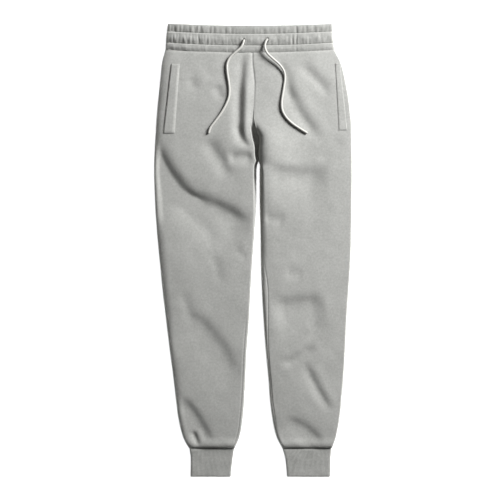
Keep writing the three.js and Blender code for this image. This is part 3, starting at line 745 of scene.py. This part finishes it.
def back_panel(side):
    way = WAYS[side]
    down = np.linspace(BAND_HEIGHT, CUFF_TOP, BACK_ROWS)[:, None]
    angle = np.linspace(math.pi / 2, 0, 6, endpoint=False)[None]
    share = np.linspace(0, 1, BACK_FLAT_COLUMNS)[None]
    in_x, out_x = inner_edge(side, down), outer_edge[side](down)
    turn = ease(290, CROTCH, down)
    flat_start, flat_end = in_x + way * BACK_ROUND, out_x - way * BACK_ROUND
    x = np.hstack([
        in_x + way * BACK_ROUND * (1 - np.sin(angle)),
        flat_start + (flat_end - flat_start) * share,
        out_x - way * BACK_ROUND * (1 - np.sin(angle[:, ::-1])),
    ])
    z = np.hstack([
        BACK_EDGE_HEIGHT * turn * (1 - np.cos(angle)),
        np.zeros_like(down + share),
        BACK_EDGE_HEIGHT * (1 - np.cos(angle[:, ::-1])) + 0 * down,
    ])
    face = place(x, down + body_sag(x, down), z)
    return shell(f"fleece_back_{side}", face, inside_of(face, -CLOTH))


backs = {side: back_panel(side) for side in WAYS}
for piece in backs.values():
    piece.data.materials.append(fleece)
    print(piece.name, len(piece.data.polygons), "faces")

# %% [markdown]
# ## Waistband
# Elastic pulls the band in, so its cloth gathers. Two rows of stitching divide it into three channels.
# Each channel is a roll that rises quickly below a row of stitching and falls to the next one. The
# gathers are short uneven creases. A table places those the photograph shows, and a noise drawn out
# along the creases fills in between them, more and deeper towards the wearer's right.

# %% Sizes of the waistband
BAND_TOP = 12.4
BAND_WALL = 4.6
BAND_ROUND = 6
STITCH_LINES = (18.5, 44)
BAND_SIDES = {
    "right": track([0, 33, 59.5], [-191.8, -195.9, -197.3]),
    "left": track([0, 33, 59.5], [178.8, 180.1, 183]),
}
LINE_SAG = track([0, 18.5, 36, 59.5], [4.7, 6, 6.4, 6.5])
CHANNELS = [
    {"start": -3, "end": 18.5, "puff": 3.8, "gathers": 1},
    {"start": 18.5, "end": 44, "puff": 4.6, "gathers": 1.1},
    {"start": 44, "end": 59.5, "puff": 3, "gathers": 0.45},
]
GATHER_COLUMNS = ("channel", "x", "depth", "half_width", "reach")
GATHER_ROWS = [
    (0, -185, 1.8, 3, 1.6), (0, -178, 1.6, 2.5, 1.4), (0, -151, 1, 2, 0.8), (0, -126, 1.6, 2, 1.4),
    (0, -104, 0.8, 2, 0.7), (0, -62, 1.2, 1.8, 1.5), (0, -50, 0.8, 1.6, 1.2), (0, 8, 0.8, 2, 0.8),
    (0, 25, 1.1, 2, 1.3), (0, 36, 1, 2.4, 1), (0, 66, 0.7, 2, 0.9), (0, 83, 1.1, 2, 1.5),
    (0, 97, 1.6, 2, 1.7), (0, 138, 1.5, 3.4, 1.3),
    (1, -188, 1.8, 2.2, 1.3), (1, -180, 1.5, 1.8, 1), (1, -175, 1.3, 1.6, 0.9), (1, -167, 2, 2, 1.2),
    (1, -158, 1.4, 1.8, 0.7), (1, -148, 0.9, 1.6, 0.5), (1, -138, 1.3, 1.8, 0.8), (1, -130, 1, 1.5, 0.6),
    (1, -123, 1.9, 2, 1.1), (1, -113, 0.8, 1.8, 0.5), (1, -57, 1.2, 1.8, 1), (1, -48, 1, 1.6, 0.9),
    (1, -33, 1.2, 2, 0.8), (1, 40, 1, 2, 0.6), (1, 87.5, 1.7, 2, 1.6), (1, 97.5, 1.9, 2, 1.7),
    (1, 140, 0.8, 2, 0.9),
    (2, -187, 1, 3, 1.2), (2, -176, 0.8, 3, 0.9), (2, -64, 0.8, 1.5, 0.8), (2, -57, 0.8, 1.4, 0.8),
    (2, -47, 0.9, 1.5, 0.8), (2, -38, 0.8, 1.4, 0.7), (2, 18, 0.7, 1.6, 0.8), (2, 97, 0.7, 1.6, 1),
]
GATHERS = [dict(zip(GATHER_COLUMNS, row)) for row in GATHER_ROWS]


def band_middle(x):
    """1 in mid front and 0 at both side seams."""
    return np.clip(1 - ((x + 7.1) / 190.2) ** 2, 0, 1)


# %% Gathers and channels of the waistband
def channel_height(number, x, down):
    """Height of one channel's roll less its gathers, and nothing outside it."""
    channel = CHANNELS[number]
    share = np.clip((down - channel["start"]) / (channel["end"] - channel["start"]), 0, 1)
    roll = ease(-0.05, 0.1, share) * (1 - np.clip((share - 0.42) / 0.58, 0, 1) ** 1.7)
    bunched = 1 + 0.5 * (1 - ease(-190, -90, x))
    height = channel["puff"] * bunched * roll * (1 + 0.18 * ripple(x, down, 15, 4 + number))
    fullness = 1.3 - 0.8 * ease(-130, -70, x) + 0.25 * ease(40, 110, x)
    uneven = ripple(x, down * 0.22, 5.5, 30 + number) + 0.5 * ripple(x, down * 0.3, 11, 40 + number)
    height = height + channel["gathers"] * fullness * uneven * (0.3 + 0.7 * ease(0, 0.6, share))
    wavy_x = x + 1.6 * ripple(x, down, 14, 20 + number)
    for crease in (row for row in GATHERS if row["channel"] == number):
        strength = 0.8 * crease["depth"] * ease(1 - crease["reach"], 1.1, share) * (0.35 + 0.65 * roll)
        height = height - strength * np.exp(-(((wavy_x - crease["x"]) / (1.25 * crease["half_width"])) ** 2))
    return np.where((down >= channel["start"]) & (down < channel["end"]), height, 0)


def band_height(x, down):
    """Height of the waistband's front."""
    height = BAND_TOP - 3.4
    for number in range(len(CHANNELS)):
        height = height + channel_height(number, x, down)
    for line in STITCH_LINES:
        height = height + seam_groove(down - line, 0.6, 1.2)
    fold = np.clip(down / 3.5, 0, 1)
    height = height - 3.4 * (1 - np.sqrt(1 - (1 - fold) ** 2))
    height = height - 4.4 * np.exp(-abs(x - BAND_SIDES["right"](down)) / 14)
    height = height - 1.2 * np.exp(-abs(x - BAND_SIDES["left"](down)) / 12)
    for side in WAYS:
        x_exit, down_exit, _ = CORD_ROUTES[side][0]
        below_exit = down + LINE_SAG(down) * band_middle(x) - down_exit - 3
        hole = ((x - x_exit) / 3.4) ** 2 + (below_exit / 6.5) ** 2
        height = height - 3.4 * (1 - ease(0.7, 1.15, hole))
    return height


# %% Flat tubes
def flat_tube(name, down, start, end, sag, front, top, wall, corner, front_columns, back_columns):
    """A ring of cloth lying flat: front, round side, back and round side, with a slot inside."""
    down = down[:, None]
    start, end = start[:, None], end[:, None]
    turn = np.linspace(math.pi / 2, -math.pi / 2, 14)[None]
    front_share = np.linspace(0, 1, front_columns)[None]
    back_share = np.linspace(1, 0, back_columns)[None]

    def loop(rows, inside):
        inset = wall + (top - 2 * wall) / 2 if inside else corner
        radius = (top - 2 * wall) / 2 if inside else corner
        low, high = (wall, top - wall) if inside else (0, None)
        a, b = start[rows] + inset, end[rows] - inset
        front_x, back_x = a + (b - a) * front_share, a + (b - a) * back_share
        front_z = high + 0 * front_x if inside else front(front_x, down[rows])
        ends = []
        for edge, way, edge_z in ((b, 1, front_z[:, -1:]), (a, -1, front_z[:, :1])):
            angle = turn if way > 0 else turn[:, ::-1]
            middle, half_height = (edge_z + low) / 2, (edge_z - low) / 2
            ends.append((edge + way * radius * np.cos(angle), middle + half_height * np.sin(angle)))
        (right_x, right_z), (left_x, left_z) = ends
        x = np.hstack([front_x, right_x[:, 1:-1], back_x, left_x[:, 1:-1]])
        z = np.hstack([front_z, right_z[:, 1:-1], low + 0 * back_x, left_z[:, 1:-1]])
        return place(x, down[rows] + sag(x, down[rows]), z)

    every, ends_only = np.arange(len(down)), np.array([0, len(down) - 1])
    return shell(name, loop(every, False), loop(ends_only, True), closed=True)


band_down = np.linspace(0, BAND_HEIGHT, 80)
waistband = flat_tube(
    "fleece_waistband",
    down=band_down,
    start=BAND_SIDES["right"](band_down),
    end=BAND_SIDES["left"](band_down),
    sag=lambda x, down: LINE_SAG(down) * band_middle(x),
    front=band_height,
    top=BAND_TOP,
    wall=BAND_WALL,
    corner=BAND_ROUND,
    front_columns=460,
    back_columns=70,
)
waistband.data.materials.append(fleece)
print(waistband.name, len(waistband.data.polygons), "faces")

# %% [markdown]
# ## Cuffs
# A cuff is a tube of rib knit folded double. Rib is columns of raised and sunk wales, so its
# front is a fine wave across, and it dips at the seam and at the folded end.

# %% Rib cuffs
CUFF_FACE = 8
CUFF_WALL = 3
CUFF_ROUND = 4
RIB_PITCH = 3.1
RIB_RISE = 0.16
CUFF_DOWNS = [956.5, 982, 1020]
CUFF_SIDES = {
    "right": (track(CUFF_DOWNS, [-143.4, -140.5, -141]), track(CUFF_DOWNS, [-42, -46.5, -50.1])),
    "left": (track(CUFF_DOWNS, [66, 72.8, 76.4]), track(CUFF_DOWNS, [176.5, 174.3, 173.6])),
}


def cuff(side):
    down = np.linspace(CUFF_TOP, LENGTH, 64)
    start, end = (edge(down) for edge in CUFF_SIDES[side])

    def front(x, row):
        first, last = (edge(row) for edge in CUFF_SIDES[side])
        share = (x - first) / (last - first)
        ribs = round((last - first).max() / RIB_PITCH)
        wave = RIB_RISE * np.cos(2 * math.pi * ribs * share)
        slack = 0.7 * ripple(x, row, 24, 12)
        hem = 2.4 * (1 - np.sqrt(1 - (1 - np.clip((LENGTH - row) / 3, 0, 1)) ** 2))
        seam = 1.6 * (1 - np.clip((row - CUFF_TOP) / 5, 0, 1)) ** 2
        return CUFF_FACE + wave + slack - hem - seam

    tube_end = {"top": CUFF_FACE, "wall": CUFF_WALL, "corner": CUFF_ROUND}
    piece = flat_tube(f"rib_cuff_{side}", down, start, end, lambda x, row: 0 * x, front,
                      front_columns=260, back_columns=40, **tube_end)
    piece.data.materials.append(rib_knit)
    return piece


cuffs = {side: cuff(side) for side in WAYS}
print([len(piece.data.polygons) for piece in cuffs.values()], "faces on the cuffs")

# %% [markdown]
# ## Pocket welts
# Each side pocket opens along a folded strip of fleece, the welt. It is sewn to the front along its inner
# edge and its ends, and its outer edge is free. It follows the front's surface and bulges a little.

# %% Welts
WELT_COLUMNS = ("top_down", "end_down", "top_inner", "top_outer", "end_inner", "end_outer")
WELTS = {
    "right": dict(zip(WELT_COLUMNS, (91, 248.5, -165, -184, -176, -202))),
    "left": dict(zip(WELT_COLUMNS, (90, 242, 184, 194.5, 191.5, 211))),
}
WELT_RISE = {"right": 2.2, "left": 0.7}


def surface_height(side, x, down):
    """Height of the finished front at a place, its rounded side included."""
    top = ends_and_seams(side, x, down, top_height(side, x, down))
    inside = np.clip(abs(outer_edge[side](down) - x) / SIDE_ROUND[side], 0, 1)
    return SEAM_HEIGHT + (top - SEAM_HEIGHT) * np.sqrt(1 - (1 - inside) ** 2)


def welt_place(side, across, along):
    """x and distance down on a welt, from shares across it and along it."""
    welt = WELTS[side]
    down = welt["top_down"] + (welt["end_down"] - welt["top_down"]) * along
    inner = welt["top_inner"] + (welt["end_inner"] - welt["top_inner"]) * along
    outer = welt["top_outer"] + (welt["end_outer"] - welt["top_outer"]) * along
    return inner + (outer - inner) * across, down


def pocket_welt(side):
    across, along = np.meshgrid(np.linspace(0, 1, 22), np.linspace(0, 1, 110))
    x, down = welt_place(side, across, along)
    base = surface_height(side, x, down)
    sewn = 1 - (1 - np.clip(across / 0.3, 0, 1)) ** 2
    free = np.sqrt(1 - np.clip((across - 0.88) / 0.12, 0, 1) ** 2)
    ends = np.clip(np.minimum(along, 1 - along) / 0.03, 0, 1) ** 0.5
    rise = 0.3 + WELT_RISE[side] * sewn * free * (0.35 + 0.65 * ends)
    lower = place(x, down + body_sag(x, down), base - 0.4)
    upper = place(x, down + body_sag(x, down), base + rise)
    piece = shell(f"fleece_welt_{side}", upper, lower)
    piece.data.materials.append(fleece)
    return piece


welts = {side: pocket_welt(side) for side in WAYS}
print([piece.name for piece in welts.values()])

# %% [markdown]
# ## Stitches
# A row of stitches is one short thread repeated along a line, which is what Geometry Nodes are for. The
# tree turns an edge path into a curve, puts a small capsule at each step and turns it along the path.


# %% Stitch tree
def stitch_tree():
    """Geometry Nodes that lay stitches along the edges of a mesh."""
    tree = bpy.data.node_groups.new("stitches", "GeometryNodeTree")
    face = tree.interface
    face.new_socket("Geometry", in_out="INPUT", socket_type="NodeSocketGeometry")
    for name, size in (("Pitch", 3.2), ("Stitch Length", 2.5), ("Thread Width", 0.6)):
        face.new_socket(name, in_out="INPUT", socket_type="NodeSocketFloat").default_value = size * MM
    face.new_socket("Thread", in_out="INPUT", socket_type="NodeSocketMaterial")
    face.new_socket("Geometry", in_out="OUTPUT", socket_type="NodeSocketGeometry")
    given = add(tree, "NodeGroupInput").outputs
    line = add(tree, "GeometryNodeMeshToCurve", links={"Mesh": given["Geometry"]})
    steps = add(tree, "GeometryNodeCurveToPoints", {"mode": "LENGTH"},
                {"Curve": line.outputs[0], "Length": given["Pitch"]})
    bead = add(tree, "GeometryNodeMeshUVSphere", values={"Segments": 6, "Rings": 5, "Radius": 0.5})
    size = add(tree, "ShaderNodeCombineXYZ", links={
        "X": given["Thread Width"], "Y": given["Thread Width"], "Z": given["Stitch Length"]})
    laid = add(tree, "GeometryNodeInstanceOnPoints", links={
        "Points": steps.outputs["Points"], "Instance": bead.outputs["Mesh"],
        "Rotation": steps.outputs["Rotation"], "Scale": size.outputs[0]})
    real = add(tree, "GeometryNodeRealizeInstances", links={"Geometry": laid.outputs[0]})
    dyed = add(tree, "GeometryNodeSetMaterial", links={
        "Geometry": real.outputs[0], "Material": given["Thread"]})
    add(tree, "NodeGroupOutput", links={"Geometry": dyed.outputs[0]})
    return tree


STITCHES = stitch_tree()


def stitch_row(name, paths, pitch=3.2, length=2.5, width=0.6):
    """Stitches along some paths in metres, as one plain mesh."""
    points = np.vstack(paths)
    edges, start = [], 0
    for path in paths:
        edges += [(start + k, start + k + 1) for k in range(len(path) - 1)]
        start += len(path)
    guide = bpy.data.meshes.new(f"{name}_guide")
    guide.from_pydata(points.tolist(), edges, [])
    holder = bpy.data.objects.new(f"{name}_holder", guide)
    bpy.context.scene.collection.objects.link(holder)
    modifier = holder.modifiers.new("stitches", "NODES")
    modifier.node_group = STITCHES
    inputs = [item for item in STITCHES.interface.items_tree if item.in_out == "INPUT"]
    sockets = {item.name: item.identifier for item in inputs}
    for socket, value in (("Pitch", pitch), ("Stitch Length", length), ("Thread Width", width)):
        modifier[sockets[socket]] = value * MM
    modifier[sockets["Thread"]] = thread
    evaluated = holder.evaluated_get(bpy.context.evaluated_depsgraph_get())
    mesh = bpy.data.meshes.new_from_object(evaluated)
    bpy.data.objects.remove(holder)
    mesh.shade_smooth()
    piece = bpy.data.objects.new(name, mesh)
    bpy.context.scene.collection.objects.link(piece)
    return piece


# %% Stitching of the waistband and pockets
def band_line(down_at):
    x = np.linspace(-188, 174, 400)
    z = band_height(x, np.full_like(x, down_at))
    return place(x, down_at + LINE_SAG(down_at) * band_middle(x), z + 0.15)


def welt_line(side, across):
    along = np.linspace(0.01, 0.99, 120)
    x, down = welt_place(side, np.full_like(along, across), along)
    z = surface_height(side, x, down)
    return place(x, down + body_sag(x, down), z + 1.2 + 1.6 * across)


def welt_end(side, along):
    across = np.linspace(0.05, 0.95, 20)
    x, down = welt_place(side, across, np.full_like(across, along))
    z = surface_height(side, x, down)
    return place(x, down + body_sag(x, down), z + 1.9)


band_stitches = stitch_row("stitches_waistband", [band_line(line) for line in STITCH_LINES])
welt_stitches = {}
for side in WAYS:
    around = [welt_line(side, 0.12), welt_end(side, 0.02), welt_end(side, 0.98)]
    welt_stitches[side] = stitch_row(f"stitches_pocket_{side}", around, pitch=2.8, length=2.3)
print(band_stitches.name, len(band_stitches.data.polygons), "faces")

# %% [markdown]
# ## Buttonholes
# The cord leaves the band through two worked buttonholes. Thread is sewn over the edge of each slit so
# closely that it makes a raised oval rim, which is a tube along an oval whose radius pulses with each turn.

# %% Worked rims
HOLE_HALF_WIDTH = 3.6
HOLE_HALF_LENGTH = 6.8


def buttonhole(side):
    x_exit, down_exit, _ = CORD_ROUTES[side][0]
    turn = np.linspace(0, 2 * math.pi, 260, endpoint=False)
    x = x_exit + HOLE_HALF_WIDTH * np.cos(turn)
    down = down_exit + 3 + HOLE_HALF_LENGTH * np.sin(turn)
    nominal = down - 6.2 * band_middle(x)
    z = np.full_like(x, band_height(x + 3 * np.cos(turn), nominal).mean())
    centre = place(x, down, z)
    ring = np.linspace(0, 2 * math.pi, 10, endpoint=False)
    pulse = 0.85 + 0.18 * np.cos(48 * turn)
    outward = np.stack([np.cos(turn), -np.sin(turn), 0 * turn], axis=1)
    lift = np.array([0, 0, 1])
    wide = (1.5 * np.cos(ring))[None, :, None] * outward[:, None]
    high = (0.75 * np.sin(ring))[None, :, None] * lift
    points = centre[:, None] + (wide + high) * pulse[:, None, None] * MM
    grid = np.arange(points.shape[0] * points.shape[1]).reshape(points.shape[:2])
    grid = np.hstack([grid, grid[:, :1]])
    grid = np.vstack([grid, grid[:1]])
    faces = quads(grid)
    flat = points.reshape(-1, 3)
    if volume(flat, faces) < 0:
        faces = faces[:, ::-1]
    piece = mesh_object(f"buttonhole_{side}", flat, faces)
    piece.data.materials.append(thread)
    return piece


buttonholes = {side: buttonhole(side) for side in WAYS}
print([piece.name for piece in buttonholes.values()])

# %% [markdown]
# ## The pieces on the model's body
# Every piece rides on the model's one body and replaces its plain solid, which is hidden.

# %% Bodies and nodes
everything = [waistband, band_stitches]
for group in (fronts, backs, cuffs, welts, welt_stitches, buttonholes):
    everything += group.values()
for piece in everything:
    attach(piece, "root")

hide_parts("waistband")
for side in WAYS:
    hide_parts(f"front_{side}")
    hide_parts(f"back_{side}")
    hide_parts(f"cuff_{side}")
    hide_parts(f"pocket_welt_{side}")
    cord, path, cord_length = cords[side]
    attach(cord, "root")
    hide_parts(f"drawcord_{side}")
